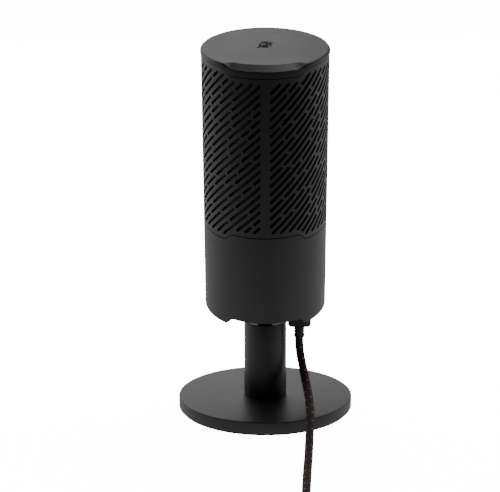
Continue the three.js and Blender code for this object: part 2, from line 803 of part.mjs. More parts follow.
function makeFarShell() {
  const shell = makeLying(farShellWidth, farShellHeight, farShellLength, 0.6, farShellStart);
  const wall = 0.4;
  const hollow = makeLying(
    farShellWidth - 2 * wall, farShellHeight - 2 * wall, farShellLength, 0.3, farShellStart - 3,
  );
  return cut(shell, hollow);
}

const farPlug = makeLying(farPlugWidth, farPlugHeight, farPlugLength, 2.4, farPlugStart);
addPiece(model, 'computer_plug_boot', makeFarBoot(), rubber);
addPiece(model, 'computer_plug', farPlug, rubber);
addPiece(model, 'computer_plug_shell', makeFarShell(), steel);

export default model;
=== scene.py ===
import json
import math
import random

import bpy
from mathutils import Matrix, Vector


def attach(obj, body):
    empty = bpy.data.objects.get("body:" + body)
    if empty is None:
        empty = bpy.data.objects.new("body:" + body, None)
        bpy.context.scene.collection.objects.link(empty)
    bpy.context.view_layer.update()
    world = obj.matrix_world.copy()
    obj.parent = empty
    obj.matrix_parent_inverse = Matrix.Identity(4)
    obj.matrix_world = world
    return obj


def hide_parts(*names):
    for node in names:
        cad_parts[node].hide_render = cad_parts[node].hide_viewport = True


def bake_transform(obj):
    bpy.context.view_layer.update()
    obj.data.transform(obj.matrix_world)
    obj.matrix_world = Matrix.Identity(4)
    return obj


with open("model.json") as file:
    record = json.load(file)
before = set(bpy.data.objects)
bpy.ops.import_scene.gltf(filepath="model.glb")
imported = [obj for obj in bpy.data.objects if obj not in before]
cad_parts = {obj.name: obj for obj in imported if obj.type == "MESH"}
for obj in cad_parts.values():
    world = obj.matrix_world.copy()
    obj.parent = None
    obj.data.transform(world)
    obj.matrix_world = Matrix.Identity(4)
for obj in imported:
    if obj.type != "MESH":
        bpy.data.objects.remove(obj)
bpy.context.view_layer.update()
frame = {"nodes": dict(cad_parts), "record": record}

print("frame loaded")

mm = 0.001

# The camera stands behind the microphone and looks slightly down at it.
camera = {"place": (0, -0.8571, 0.3050), "pitch": 76, "lens": 118.2, "shift": (-0.0305, -0.001)}
bpy.ops.object.camera_add(location=camera["place"], rotation=(math.radians(camera["pitch"]), 0, 0))
view = bpy.context.object
view.data.sensor_width = 36
view.data.lens = camera["lens"]
view.data.shift_x, view.data.shift_y = camera["shift"]
bpy.context.scene.camera = view
print("camera")


def pick(piece):
    bpy.ops.object.select_all(action="DESELECT")
    piece.select_set(True)
    bpy.context.view_layer.objects.active = piece


def inEdit(piece, action, **values):
    pick(piece)
    bpy.ops.object.mode_set(mode="EDIT")
    bpy.ops.mesh.select_all(action="SELECT")
    action(**values)
    bpy.ops.object.mode_set(mode="OBJECT")


def weld(piece, distance=1e-7):
    inEdit(piece, bpy.ops.mesh.remove_doubles, threshold=distance)
    inEdit(piece, bpy.ops.mesh.normals_make_consistent, inside=False)


def named(piece, name):
    piece.name = name
    piece.data.name = name
    return piece


def stacked(name, sides, rings):  # open rings a millimetre apart, to be moved into shape
    bpy.ops.object.select_all(action="DESELECT")
    bpy.ops.mesh.primitive_circle_add(vertices=sides, radius=0.01)
    piece = named(bpy.context.object, name)
    bpy.ops.object.mode_set(mode="EDIT")
    bpy.ops.mesh.select_all(action="SELECT")
    for _ in range(rings - 1):
        bpy.ops.mesh.extrude_region_move(TRANSFORM_OT_translate={"value": (0, 0, mm)})
    bpy.ops.object.mode_set(mode="OBJECT")
    return piece


# A turned piece: rings is a list of (radius, height), or functions of the angle from the back that give it.
# The last ring repeats the first, or both lie on the axis.
def turned(name, rings, segments):
    piece = stacked(name, segments, len(rings))
    for vertex in piece.data.vertices:
        ring = rings[round(vertex.co.z / mm)]
        angle = math.atan2(vertex.co.x, -vertex.co.y)
        radius, height = ring(math.degrees(angle)) if callable(ring) else ring
        vertex.co = (radius * math.sin(angle), -radius * math.cos(angle), height)
    weld(piece)
    return piece


def slab(name, size, centre, corner, edge, steps=6):  # a block with round upright corners and soft edges
    bpy.ops.object.select_all(action="DESELECT")
    bpy.ops.mesh.primitive_cube_add(size=1, location=centre, scale=size)
    piece = named(bpy.context.object, name)
    bpy.ops.object.transform_apply(location=True, rotation=True, scale=True)
    for upright, width, parts in ((True, corner, steps), (False, edge, 3)):
        for line in piece.data.edges:
            a, b = (piece.data.vertices[i].co for i in line.vertices)
            rises = abs(a.z - b.z) > 0.9 * size[2]
            line.select = rises if upright else onRim(a, b, size, centre)
        if width > 0:
            bevelSelected(piece, width, parts)
    weld(piece)
    return piece


def onRim(a, b, size, centre):
    level = abs(abs(a.z - centre[2]) - size[2] / 2) < 1e-6
    return level and abs(a.z - b.z) < 1e-6


def bevelSelected(piece, width, parts):
    pick(piece)
    chosen = [line.index for line in piece.data.edges if line.select]
    for group in (piece.data.vertices, piece.data.polygons, piece.data.edges):
        for item in group:
            item.select = False
    bpy.ops.object.mode_set(mode="EDIT")
    bpy.ops.mesh.select_mode(type="EDGE")
    bpy.ops.object.mode_set(mode="OBJECT")
    for index in chosen:
        piece.data.edges[index].select = True
    bpy.ops.object.mode_set(mode="EDIT")
    bpy.ops.mesh.bevel(offset=width, segments=parts, affect="EDGES", clamp_overlap=True)
    bpy.ops.mesh.select_mode(type="VERT")
    bpy.ops.object.mode_set(mode="OBJECT")


def settle(piece, place):  # puts the place in the mesh
    pick(piece)
    piece.matrix_world = place
    bpy.ops.object.transform_apply(location=True, rotation=True, scale=True)
    return piece


def soften(piece, degrees):
    pick(piece)
    bpy.ops.object.shade_smooth_by_angle(angle=math.radians(degrees))


def carve(piece, cutter):
    pick(piece)
    modifier = piece.modifiers.new("cut", "BOOLEAN")
    modifier.operation = "DIFFERENCE"
    modifier.object = cutter
    modifier.solver = "MANIFOLD"
    bpy.ops.object.modifier_apply(modifier=modifier.name)
    bpy.data.objects.remove(cutter)


def joined(pieces, name):
    bpy.ops.object.select_all(action="DESELECT")
    for piece in pieces:
        piece.select_set(True)
    bpy.context.view_layer.objects.active = pieces[0]
    bpy.ops.object.join()
    return named(bpy.context.object, name)


def fillet(radius, height, size, start, stop, parts):  # points of a rounded corner about (radius, height)
    turns = [math.radians(start + (stop - start) * i / parts) for i in range(parts + 1)]
    return [(radius + size * math.cos(a), height + size * math.sin(a)) for a in turns]


# A value inside a material, which can be worked with like a number.
class Signal:
    def __init__(self, finish, socket):
        self.finish = finish
        self.socket = socket

    def maths(self, operation, first, second):
        return self.finish.node("ShaderNodeMath", {"operation": operation}, {0: first, 1: second})

    def __add__(self, other):
        return self.maths("ADD", self, other)

    def __radd__(self, other):
        return self.maths("ADD", other, self)

    def __sub__(self, other):
        return self.maths("SUBTRACT", self, other)

    def __rsub__(self, other):
        return self.maths("SUBTRACT", other, self)

    def __mul__(self, other):
        return self.maths("MULTIPLY", self, other)

    def __truediv__(self, other):
        return self.maths("DIVIDE", self, other)


class Finish:
    def __init__(self, name):
        self.material = bpy.data.materials.new(name)
        self.material.use_nodes = True
        self.tree = self.material.node_tree
        self.shader = self.tree.nodes["Principled BSDF"]

    def node(self, kind, settings, values, output=0):
        made = self.tree.nodes.new(kind)
        for key, value in settings.items():
            setattr(made, key, value)
        self.feed(made, values)
        return Signal(self, made.outputs[output])

    def feed(self, node, values):
        for key, value in values.items():
            if isinstance(value, Signal):
                self.tree.links.new(value.socket, node.inputs[key])
            else:
                node.inputs[key].default_value = value

    def place(self, output="Object"):
        return self.node("ShaderNodeTexCoord", {}, {}, output)

    def noise(self, scale, detail, stretch=None):
        where = self.place()
        if stretch:
            where = self.node("ShaderNodeMapping", {}, {"Vector": where, "Scale": stretch})
        return self.node("ShaderNodeTexNoise", {}, {"Vector": where, "Scale": scale, "Detail": detail})

    def blend(self, share, first, second):
        return self.node("ShaderNodeMix", {"data_type": "RGBA"}, {0: share, 6: first, 7: second}, 2)

    def bump(self, height, strength, distance):
        values = {"Height": height, "Strength": strength, "Distance": distance}
        return self.node("ShaderNodeBump", {}, values)

    def shade(self, **values):
        self.feed(self.shader, {key.replace("_", " "): value for key, value in values.items()})
        return self.material


def grey(level):
    return (level, level, level, 1)


def scaled(colour, share):
    return [min(1, c * share) for c in colour[:3]] + [1]


# Moulded or painted surfaces: a fine grain, slow patches in gloss, and faint handling marks.
def moulded(name, colour, rough, grain, depth, patchy=0.05):
    finish = Finish(name)
    fine = finish.noise(grain, 2)
    slow = finish.noise(55, 4)
    specks = finish.noise(grain * 0.31, 3)
    tone = finish.blend(slow * 0.5 + specks * 0.5, scaled(colour, 0.86), scaled(colour, 1.14))
    return finish.shade(
        Base_Color=tone,
        Roughness=slow * patchy * 2 + specks * 0.06 + (rough - patchy - 0.03),
        Normal=finish.bump(fine, 0.35, depth),
    )


def dulled(material, specular):  # less gloss all over than a bare plastic
    material.node_tree.nodes["Principled BSDF"].inputs["Specular IOR Level"].default_value = specular


def machined(name, colour, rough):  # bare metal with faint tool lines
    finish = Finish(name)
    lines = finish.noise(900, 3, (1, 1, 0.08))
    patches = finish.noise(160, 3)
    return finish.shade(
        Base_Color=finish.blend(patches, scaled(colour, 0.82), scaled(colour, 1)),
        Roughness=lines * 0.16 + patches * 0.1 + (rough - 0.13),
        Metallic=1.0,
        Normal=finish.bump(lines, 0.2, 0.00003),
    )


def circuitBoard(name):
    finish = Finish(name)
    where = finish.place()
    grid = {"Vector": where, "Scale": 420, "Randomness": 0.35}
    cells = finish.node("ShaderNodeTexVoronoi", {"distance": "CHEBYCHEV"}, grid)
    bricks = {"Vector": where, "Scale": 260, "Mortar Size": 0.035}
    tracks = finish.node("ShaderNodeTexBrick", {}, bricks, 1)
    pads = finish.node("ShaderNodeMath", {"operation": "LESS_THAN"}, {0: cells, 1: 0.11})
    green = finish.blend(tracks, (0.008, 0.05, 0.022, 1), (0.018, 0.1, 0.045, 1))
    tone = finish.blend(pads, green, (0.55, 0.42, 0.2, 1))
    relief = finish.bump(tracks + pads, 0.3, 0.00004)
    return finish.shade(Base_Color=tone, Roughness=0.42 - pads * 0.12, Normal=relief)


def acousticCloth(name):  # a porous cloth with fine rows round the liner
    finish = Finish(name)
    kind = {"wave_type": "BANDS", "bands_direction": "Z"}
    waves = {"Vector": finish.place(), "Scale": 420, "Distortion": 0.6}
    rows = finish.node("ShaderNodeTexWave", kind, waves, 1)
    pores = finish.noise(2600, 4)
    relief = finish.bump(rows * 0.5 + pores * 0.5, 0.7, 0.00015)
    tone = finish.blend(pores, (0.045, 0.045, 0.046, 1), (0.12, 0.12, 0.122, 1))
    return finish.shade(Base_Color=tone, Roughness=0.9 + pores * 0.1, Normal=relief)


braid = {
    "carriers": 8,  # yarns each way round
    "yarnPitch": 3.4 * mm,
    "fleckPitch": 7.7 * mm,
    "fleckLong": 0.085,  # share of the way round
    "fleckWide": 1.05 * mm,
    "twist": 0.86,  # turns a metre
    "rows": (-0.147, 0.072),  # where the two rows of flecks start, as a share of the way round
    "skew": 3 * mm,
    "stagger": 2.1 * mm,
}


def braidedYarn(name):  # woven black yarns with two rows of flecks that wind slowly round
    finish = Finish(name)
    length = finish.node("ShaderNodeSeparateXYZ", {}, {0: finish.place("UV")})
    around = Signal(finish, length.socket.node.outputs[1])

    def maths(operation, *values):
        return finish.node("ShaderNodeMath", {"operation": operation}, dict(enumerate(values)))

    turns = length * (1 / braid["yarnPitch"])
    left = around * braid["carriers"] + turns
    right = around * braid["carriers"] - turns
    over = maths("SINE", left * math.tau) * maths("SINE", right * math.tau)
    strandLeft = maths("ABSOLUTE", maths("SINE", left * math.pi * 2))
    strandRight = maths("ABSOLUTE", maths("SINE", right * math.pi * 2))
    # painted shade: this weave height also colours the black yarns, darker in the gaps between them and
    # lighter on their crests and crossings
    weaveAndShade = strandLeft * 0.5 + strandRight * 0.5 + over * 0.25
    fibres = finish.noise(5200, 3)
    flecks = None
    for index, row in enumerate(braid["rows"]):
        across = maths("WRAP", around - length * braid["twist"] - row, 0.5, -0.5)
        along = length + across * braid["skew"] + index * braid["stagger"]
        near = maths("ABSOLUTE", maths("WRAP", along / braid["fleckPitch"], 0.5, -0.5))
        inLength = maths("LESS_THAN", near, braid["fleckWide"] / braid["fleckPitch"] / 2)
        inWidth = maths("LESS_THAN", maths("ABSOLUTE", across), braid["fleckLong"] / 2)
        mark = inLength * inWidth
        flecks = mark if flecks is None else flecks + mark
    # painted shade and highlight on the black yarns: darkest in the gaps between yarns, lightest on their
    # crests
    yarnWithCreaseShade = finish.blend(weaveAndShade, (0.0035, 0.0035, 0.004, 1), (0.02, 0.02, 0.021, 1))
    orange = finish.blend(fibres, (0.55, 0.04, 0.012, 1), (0.82, 0.1, 0.03, 1))
    return finish.shade(
        Base_Color=finish.blend(flecks, yarnWithCreaseShade, orange),
        Roughness=0.72 + fibres * 0.2,
        Normal=finish.bump(weaveAndShade + fibres * 0.35, 0.8, 0.0002),
    )


def diffuser(name):  # the milky ring that light shines through
    finish = Finish(name)
    cloud = finish.noise(380, 3)
    tone = finish.blend(cloud, (0.62, 0.63, 0.64, 1), (0.8, 0.81, 0.82, 1))
    finish.shader.inputs["Subsurface Weight"].default_value = 0.25
    finish.shader.inputs["Subsurface Radius"].default_value = (0.002, 0.002, 0.002)
    relief = finish.bump(cloud, 0.1, 0.0001)
    return finish.shade(Base_Color=tone, Roughness=0.28 + cloud * 0.12, Normal=relief)


def dialPaint(name, spot):  # the moulded dial, with one painted dot at the spot
    finish = Finish(name)
    fine = finish.noise(5200, 2)
    slow = finish.noise(60, 4)
    ends = {0: finish.place(), 1: spot}
    apart = finish.node("ShaderNodeVectorMath", {"operation": "DISTANCE"}, ends, "Value")
    dot = finish.node("ShaderNodeMath", {"operation": "LESS_THAN"}, {0: apart, 1: 0.75 * mm})
    plain = finish.blend(slow, (0.011, 0.011, 0.0115, 1), (0.016, 0.016, 0.0165, 1))
    return finish.shade(
        Base_Color=finish.blend(dot, plain, (0.75, 0.75, 0.74, 1)),
        Roughness=slow * 0.1 + 0.36,
        Normal=finish.bump(fine, 0.3, 0.00003),
    )


finishes = {
    "pad_rubber": moulded("padRubber", grey(0.010), 0.85, 2600, 0.00006),
    "base_finish": moulded("basePaint", grey(0.013), 0.44, 4200, 0.000035, 0.03),
    "post_finish": moulded("postPaint", grey(0.010), 0.40, 4200, 0.00003, 0.03),
    "hinge_black": machined("hingeBlack", (0.035, 0.035, 0.037), 0.42),
    "bright_steel": machined("brightSteel", (0.62, 0.62, 0.63), 0.3),
    "brass": machined("brass", (0.68, 0.5, 0.22), 0.34),
    "shell_plastic": moulded("shellPlastic", grey(0.014), 0.47, 4600, 0.00003),
    "grille_plastic": moulded("grillePlastic", grey(0.014), 0.46, 4600, 0.00003),
    "cap_plastic": moulded("capPlastic", grey(0.015), 0.45, 4600, 0.00003),
    "mark_ink": moulded("markInk", grey(0.003), 0.8, 5200, 0.00002),
    "plate_plastic": moulded("platePlastic", grey(0.014), 0.62, 3200, 0.00005),
    "liner_foam": acousticCloth("linerCloth"),
    "frame_plastic": moulded("framePlastic", grey(0.05), 0.66, 2600, 0.00006),
    "board_green": circuitBoard("boardGreen"),
    "ribbon_film": moulded("ribbonFilm", (0.42, 0.2, 0.06, 1), 0.38, 900, 0.00004),
    "cradle_rubber": moulded("cradleRubber", grey(0.012), 0.82, 2400, 0.00007),
    "capsule_metal": machined("capsuleMetal", (0.7, 0.68, 0.62), 0.26),
    "socket_metal": machined("socketMetal", (0.58, 0.58, 0.6), 0.28),
    "light_ring": diffuser("lightRing"),
    "plug_rubber": moulded("plugRubber", grey(0.013), 0.6, 2200, 0.00008),
    "braid": braidedYarn("braidedYarn"),
}
dulled(finishes["mark_ink"], 0.22)

# The body's own frame has its origin in the middle of its lower rim, and it leans about the tilt axis.
tilt = {"height": 68 * mm, "lean": 13.8, "aboveRim": 7.92 * mm, "dialHeight": 36.5 * mm}
lift = Matrix.Translation((0, 0, tilt["height"]))
leaning = Matrix.Rotation(math.radians(tilt["lean"]), 4, "X")
bodyPlace = lift @ leaning @ Matrix.Translation((0, 0, -tilt["aboveRim"]))
toFront = Matrix.Translation((0, 0, tilt["dialHeight"])) @ Matrix.Rotation(math.radians(-90), 4, "X")
dialPlace = bodyPlace @ toFront
dialSpot = dialPlace @ Vector((0, -7.4 * mm, 38.6 * mm))
finishes["dial_plastic"] = dialPaint("dialPlastic", tuple(dialSpot))
print("finishes")


def finishPiece(piece, slot, body, *nodes, smooth=30):
    soften(piece, smooth)
    piece.data.materials.clear()
    piece.data.materials.append(finishes[slot])
    if body:
        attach(piece, body)
    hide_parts(*nodes)
    return piece


# The lead runs from the plug under the body over the base, and ends in a coil on the table.
lead = {"radius": 2.25 * mm, "sides": 16, "spacing": 2.4 * mm}
leadPoints = [
    (18.4, -2.7, 40.8), (18.6, -1.3, 35.5), (19.1, -1.3, 31.0), (20.0, -3.0, 26.4), (21.0, -6.6, 22.2),
    (21.9, -12.0, 18.7), (22.7, -18.5, 16.2), (23.3, -26.0, 13.9), (23.6, -34.0, 12.0), (23.6, -42.0, 10.5),
    (23.3, -51.0, 8.4), (22.8, -61.0, 5.9), (22.3, -71.0, 3.9), (21.8, -82.0, 2.7), (21.1, -94.0, 2.35),
    (20.3, -110.0, 2.35), (19.5, -129.0, 2.35), (19.2, -148.0, 2.35), (19.2, -167.5, 2.35),
]
coil = {
    "centre": (-14.4, -186), "outer": 33.575, "turns": 3.5, "pitch": 4.65,
    "low": 2.3, "room": 0.3, "tailRun": 14, "perTurn": 40, "clear": 4.52, "ahead": 0.12,
}


def climb(turn):  # how high the climbing turn has to be above the one it crosses
    def needed(t):
        side = coil["pitch"] * (1 - min(t, 1))
        return math.sqrt(max(0, coil["clear"] ** 2 - side ** 2)) if t > 0 else 0

    samples = 12
    ahead = sum(needed(turn + coil["ahead"] * (i + 0.5) / samples) for i in range(samples)) / samples
    return min(coil["pitch"], ahead * coil["pitch"] / coil["clear"])


def coilPoints():
    cx, cy = coil["centre"]
    points = []
    total = 2 * coil["turns"] + 1
    for i in range(1, int(total * coil["perTurn"])):
        turn = i / coil["perTurn"]
        radius = coil["outer"] - coil["pitch"] * min(turn, coil["turns"])
        radius += coil["pitch"] * max(0, turn - coil["turns"] - 1)
        height = coil["low"] + climb(turn - coil["turns"])
        angle = -math.tau * turn
        points.append((cx + radius * math.cos(angle), cy + radius * math.sin(angle), height))
    for degrees in range(0, 91, 6):  # the last quarter comes down beside the coil
        share = min(1, degrees / 75) * math.pi / 2
        radius = coil["outer"] + (coil["pitch"] + coil["room"]) * math.sin(share)
        height = coil["low"] + coil["pitch"] * math.cos(share)
        angle = -math.radians(degrees)
        points.append((cx + radius * math.cos(angle), cy + radius * math.sin(angle), height))
    tailY = cy - coil["outer"] - coil["pitch"] - coil["room"]
    for run, height in ((5, 2.35), (10, 2.7), (coil["tailRun"] + 1, 3.3), (coil["tailRun"] + 4, 3.6)):
        points.append((cx - run, tailY, height))
    return points


def smoothed(points, spacing):  # a centripetal curve through the points, at even steps
    line = [Vector(p) for p in points]
    line = [line[0] * 2 - line[1]] + line + [line[-1] * 2 - line[-2]]
    dense = []
    for a, b, c, d in zip(line, line[1:], line[2:], line[3:]):
        t1 = (b - a).length ** 0.5
        t2 = t1 + (c - b).length ** 0.5
        t3 = t2 + (d - c).length ** 0.5
        parts = max(2, int((c - b).length / (spacing / 4)))
        for i in range(parts):
            t = t1 + (t2 - t1) * i / parts
            ab = a * ((t1 - t) / t1) + b * (t / t1)
            bc = b * ((t2 - t) / (t2 - t1)) + c * ((t - t1) / (t2 - t1))
            cd = c * ((t3 - t) / (t3 - t2)) + d * ((t - t2) / (t3 - t2))
            abc = ab * ((t2 - t) / t2) + bc * (t / t2)
            bcd = bc * ((t3 - t) / (t3 - t1)) + cd * ((t - t1) / (t3 - t1))
            dense.append(abc * ((t2 - t) / (t2 - t1)) + bcd * ((t - t1) / (t2 - t1)))
    dense.append(line[-2])
    lengths = [0.0]
    for a, b in zip(dense, dense[1:]):
        lengths.append(lengths[-1] + (b - a).length)
    count = round(lengths[-1] / spacing)
    even, at = [], 0
    for i in range(count + 1):
        want = lengths[-1] * i / count
        while at < len(dense) - 2 and lengths[at + 1] < want:
            at += 1
        share = (want - lengths[at]) / max(1e-12, lengths[at + 1] - lengths[at])
        even.append(dense[at].lerp(dense[at + 1], min(1, share)))
    return even, lengths[-1]


def makeLead():
    raw = [Vector(p) * mm for p in leadPoints + coilPoints()]
    path, length = smoothed(raw, lead["spacing"])
    sides = lead["sides"]
    piece = stacked("dataLead", sides, len(path))
    frames = []
    up = Vector((0, -1, 0))
    for i, point in enumerate(path):
        ahead = (path[min(i + 1, len(path) - 1)] - path[max(i - 1, 0)]).normalized()
        up = (up - ahead * up.dot(ahead)).normalized()
        frames.append((point, up.copy(), up.cross(ahead)))
    places = {}
    for vertex in piece.data.vertices:
        ring = round(vertex.co.z / mm)
        turn = round(math.atan2(vertex.co.y, vertex.co.x) / math.tau * sides) % sides
        angle = math.tau * turn / sides
        point, up, side = frames[ring]
        places[vertex.index] = (ring, turn)
        vertex.co = point + (up * math.cos(angle) + side * math.sin(angle)) * lead["radius"]
    uv = piece.data.uv_layers.active
    spacing = length / (len(path) - 1)
    for face in piece.data.polygons:
        turns = [places[v][1] for v in face.vertices]
        wraps = max(turns) - min(turns) > sides / 2
        for loop, vertex, turn in zip(face.loop_indices, face.vertices, turns):
            turn = turn + sides if wraps and turn < sides / 2 else turn
            uv.data[loop].uv = (places[vertex][0] * spacing, turn / sides)
    inEdit(piece, bpy.ops.mesh.fill_holes, sides=0)
    inEdit(piece, bpy.ops.mesh.normals_make_consistent, inside=False)
    finishPiece(piece, "braid", None, "lead", "lead_coil", "lead_tail")
    return piece, path, length


dataLead, leadPath, leadLength = makeLead()
print("data lead, metres:", round(leadLength, 3))

# The plug for the computer lies flat at the end of the lead.
farPlug = {
    "y": -224.525 * mm, "z": 3.85 * mm, "bootStart": -28.7 * mm, "bootLength": 9 * mm,
    "bootRadii": (2.9 * mm, 3.4 * mm), "ribs": 5, "groove": 0.35 * mm, "grooveWide": 0.57 * mm,
    "size": (28 * mm, 15 * mm, 7.6 * mm), "corner": 2.4 * mm, "edge": 0.7 * mm, "gap": 0.3 * mm,
    "grip": (9 * mm, 2 * mm, 13 * mm), "gripUp": 0.75 * mm, "gripAlong": 2 * mm,
    "shell": (12 * mm, 12 * mm, 4.5 * mm), "sheet": 0.4 * mm, "shellCorner": 0.6 * mm,
    "hollowBack": 1.2 * mm, "window": 2.4 * mm, "windowApart": 2.9 * mm, "windowBack": 0.8 * mm,
    "tongueSide": 1.4 * mm, "tongueThick": 1.7 * mm, "tongueEnd": 1.6 * mm,
}


def makeStrainRelief(name):  # a tapered sleeve with grooves round it
    near, far = farPlug["bootRadii"]
    length, ribs, wide = farPlug["bootLength"], farPlug["ribs"], farPlug["grooveWide"]
    rings = [(0, 0), (near - 0.3 * mm, 0), (near, 0.3 * mm)]
    step = length / (ribs + 1)
    for i in range(ribs):
        z = step * (i + 0.75)
        radius = near + (far - near) * z / length
        floor = radius - farPlug["groove"]
        rings += [(radius, z), (floor, z + 0.12 * mm), (floor, z + wide - 0.12 * mm), (radius, z + wide)]
    rings += [(far, length - 0.3 * mm), (far - 0.3 * mm, length), (0, length)]
    return turned(name, rings, 40)


def makeFarPlug():
    long, wide, high = farPlug["size"]
    bootEnd = farPlug["bootStart"] - farPlug["bootLength"]
    plugEnd = bootEnd - farPlug["gap"] - long
    shellStart = plugEnd - farPlug["gap"]

    def laid(x):  # pieces are made upright and laid along the lead
        return Matrix.Translation((x, farPlug["y"], farPlug["z"]))

    boot = makeStrainRelief("computerPlugBoot")
    settle(boot, laid(farPlug["bootStart"]) @ Matrix.Rotation(math.radians(-90), 4, "Y"))
    finishPiece(boot, "plug_rubber", "stand", "computer_plug_boot")

    plug = slab("computerPlug", (wide, high, long), (0, 0, 0), farPlug["corner"], farPlug["edge"])
    for side in (-1, 1):  # a shallow grip recess on each broad face
        spot = (0, side * (high / 2 + farPlug["gripUp"]), farPlug["gripAlong"])
        carve(plug, slab("grip", farPlug["grip"], spot, 0.4 * mm, 0.3 * mm, 2))
    turnX = Matrix.Rotation(math.radians(90), 4, "Y") @ Matrix.Rotation(math.radians(90), 4, "Z")
    settle(plug, laid(plugEnd + long / 2) @ turnX)
    finishPiece(plug, "plug_rubber", "stand", "computer_plug")

    shellLong, shellWide, shellHigh = farPlug["shell"]
    walls = 2 * farPlug["sheet"]
    size = (shellWide, shellHigh, shellLong)
    shell = slab("computerPlugShell", size, (0, 0, 0), farPlug["shellCorner"], 0, 3)
    room = (shellWide - walls, shellHigh - walls, shellLong)
    carve(shell, slab("hollow", room, (0, 0, -farPlug["hollowBack"]), 0.3 * mm, 0, 3))
    for side in (-1, 1):
        for across in (-1, 1):  # the square windows in the broad faces
            spot = (across * farPlug["windowApart"], side * shellHigh / 2, -farPlug["windowBack"])
            carve(shell, slab("window", (farPlug["window"], 2 * mm, farPlug["window"]), spot, 0, 0))
    shellMiddle = shellStart - shellLong / 2
    settle(shell, laid(shellMiddle) @ turnX)
    finishPiece(shell, "socket_metal", "stand", "computer_plug_shell")
    size = (shellWide - farPlug["tongueSide"], farPlug["tongueThick"], shellLong - farPlug["tongueEnd"])
    tongue = slab("computerPlugTongue", size, (0, 0.8 * mm, 0.6 * mm), 0.2 * mm, 0.15 * mm, 2)
    settle(tongue, laid(shellMiddle) @ turnX)
    finishPiece(tongue, "plate_plastic", "stand")
    return boot, plug, shell, tongue


farPieces = makeFarPlug()
print("far plug")

# The plug under the body, upright in the leaning body's own frame.
nearPlug = {
    "x": 18.5 * mm, "y": -9 * mm, "wide": 12.5 * mm, "deep": 7.5 * mm, "top": 17.7 * mm, "bottom": -10 * mm,
    "corner": 2.6 * mm, "edge": 0.9 * mm, "boot": 2.75 * mm, "bootLength": 7.2 * mm, "gap": 0.3 * mm,
    "lip": 0.12 * mm, "lipRound": 0.35 * mm, "lipTall": 1.2 * mm,
}


def makeNearPlug():
    tall = nearPlug["top"] - nearPlug["bottom"]
    centre = (nearPlug["x"], nearPlug["y"], (nearPlug["top"] + nearPlug["bottom"]) / 2)
    size = (nearPlug["wide"], nearPlug["deep"], tall)
    plug = slab("leadPlug", size, centre, nearPlug["corner"], nearPlug["edge"])
    finishPiece(settle(plug, bodyPlace), "plug_rubber", "microphone", "lead_plug")
    r, top = nearPlug["boot"], nearPlug["bottom"] - nearPlug["gap"]
    low = top - nearPlug["bootLength"]
    lip, e, tall = r + nearPlug["lip"], nearPlug["lipRound"], nearPlug["lipTall"]
    rings = [(0, low), (lip - e, low), (lip, low + e), (lip, low + tall)]
    rings += [(r - 0.1 * mm, low + tall + 0.3 * mm), (r, top - 1.2 * mm)]
    rings += [(r + 0.15 * mm, top - 0.3 * mm), (r, top), (0, top)]
    boot = turned("leadBoot", rings, 48)
    settle(boot, bodyPlace @ Matrix.Translation((nearPlug["x"], nearPlug["y"], 0)))
    finishPiece(boot, "plug_rubber", "microphone", "lead_boot")
    return plug, boot


nearPieces = makeNearPlug()
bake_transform(dataLead)
print("near plug and cord")

# The stand is a turned base on a rubber pad, with a hollow post.
stand = {
    "radius": 47.37 * mm, "top": 7.66 * mm, "pad": 1.3 * mm, "padInset": 1.2 * mm, "edge": 0.55 * mm,
    "screwRoom": 6.5 * mm, "screwHole": 3.3 * mm, "roomTop": 6 * mm, "grooves": (12, 24, 36),
    "post": 11.5 * mm, "postBore": 8.9 * mm, "postTop": 49.5 * mm, "postEdge": 0.4 * mm,
}


def makeStand():
    r, top, low, e = stand["radius"], stand["top"], stand["pad"], stand["edge"]
    room, hole, roomTop = stand["screwRoom"], stand["screwHole"], stand["roomTop"]
    rings = [(room, low), (r - e, low)] + fillet(r - e, low + e, e, -90, 0, 5)[1:]
    rings += fillet(r - e, top - e, e, 0, 90, 6)
    rings += [(12 * mm, top), (hole, top), (hole, roomTop), (room, roomTop), (room, low)]
    plate = turned("basePlate", rings, 240)
    finishPiece(plate, "base_finish", "stand", "base_plate")

    r, e = stand["radius"] - stand["padInset"], 0.35 * mm
    rings = [(0, 0)]
    outline = ((0, 0), (0.4, 0.5), (1.2, 0.5), (1.6, 0))
    for groove in stand["grooves"]:  # round grooves under the pad
        rings += [((groove + out) * mm, deep * mm) for out, deep in outline]
    rings += [(r - e, 0), (r, e), (r, low), (0, low)]
    pad = turned("footPad", rings, 180)
    finishPiece(pad, "pad_rubber", "stand", "foot_pad")

    r, bore, low, high, e = stand["post"], stand["postBore"], top, stand["postTop"], stand["postEdge"]
    rings = [(bore, low), (r - 0.25 * mm, low), (r, low + 0.25 * mm), (r, 20 * mm), (r, 36 * mm)]
    rings += fillet(r - e, high - e, e, 0, 90, 5) + [(bore, high), (bore, low)]
    post = turned("standPost", rings, 160)
    finishPiece(post, "post_finish", "stand", "stand_post")


makeStand()
print("stand")

# The casing is a straight cylinder. Its seam and rim step up by the same wave at the front and the back.
casing = {
    "radius": 32.5 * mm, "shellWall": 2.2 * mm, "seam": 50.5 * mm, "step": 3.8 * mm, "gap": 0.3 * mm,
    "waveStart": 31, "waveEnd": 41, "segments": 240, "rimEdge": 0.3 * mm, "rampEdge": 0.75 * mm,
    "dialHole": 12.6 * mm, "dialHoleFrom": 16 * mm, "dialHoleTo": 40 * mm,
}
cap = {
    "radius": 32.8 * mm, "middle": 146.25 * mm, "slope": 0.0384, "band": 2.3 * mm, "dip": 3.4 * mm,
    "wall": 2.4 * mm, "skirt": 3 * mm, "round": 1.25 * mm, "facetDrop": 1.9 * mm, "facetRadius": 27.2 * mm,
    "facetChord": 23.6 * mm, "facetRound": 0.55 * mm, "facetFrom": 29, "facetTo": 42,
}


def offBack(angle):
    return abs((angle + 180) % 360 - 180)


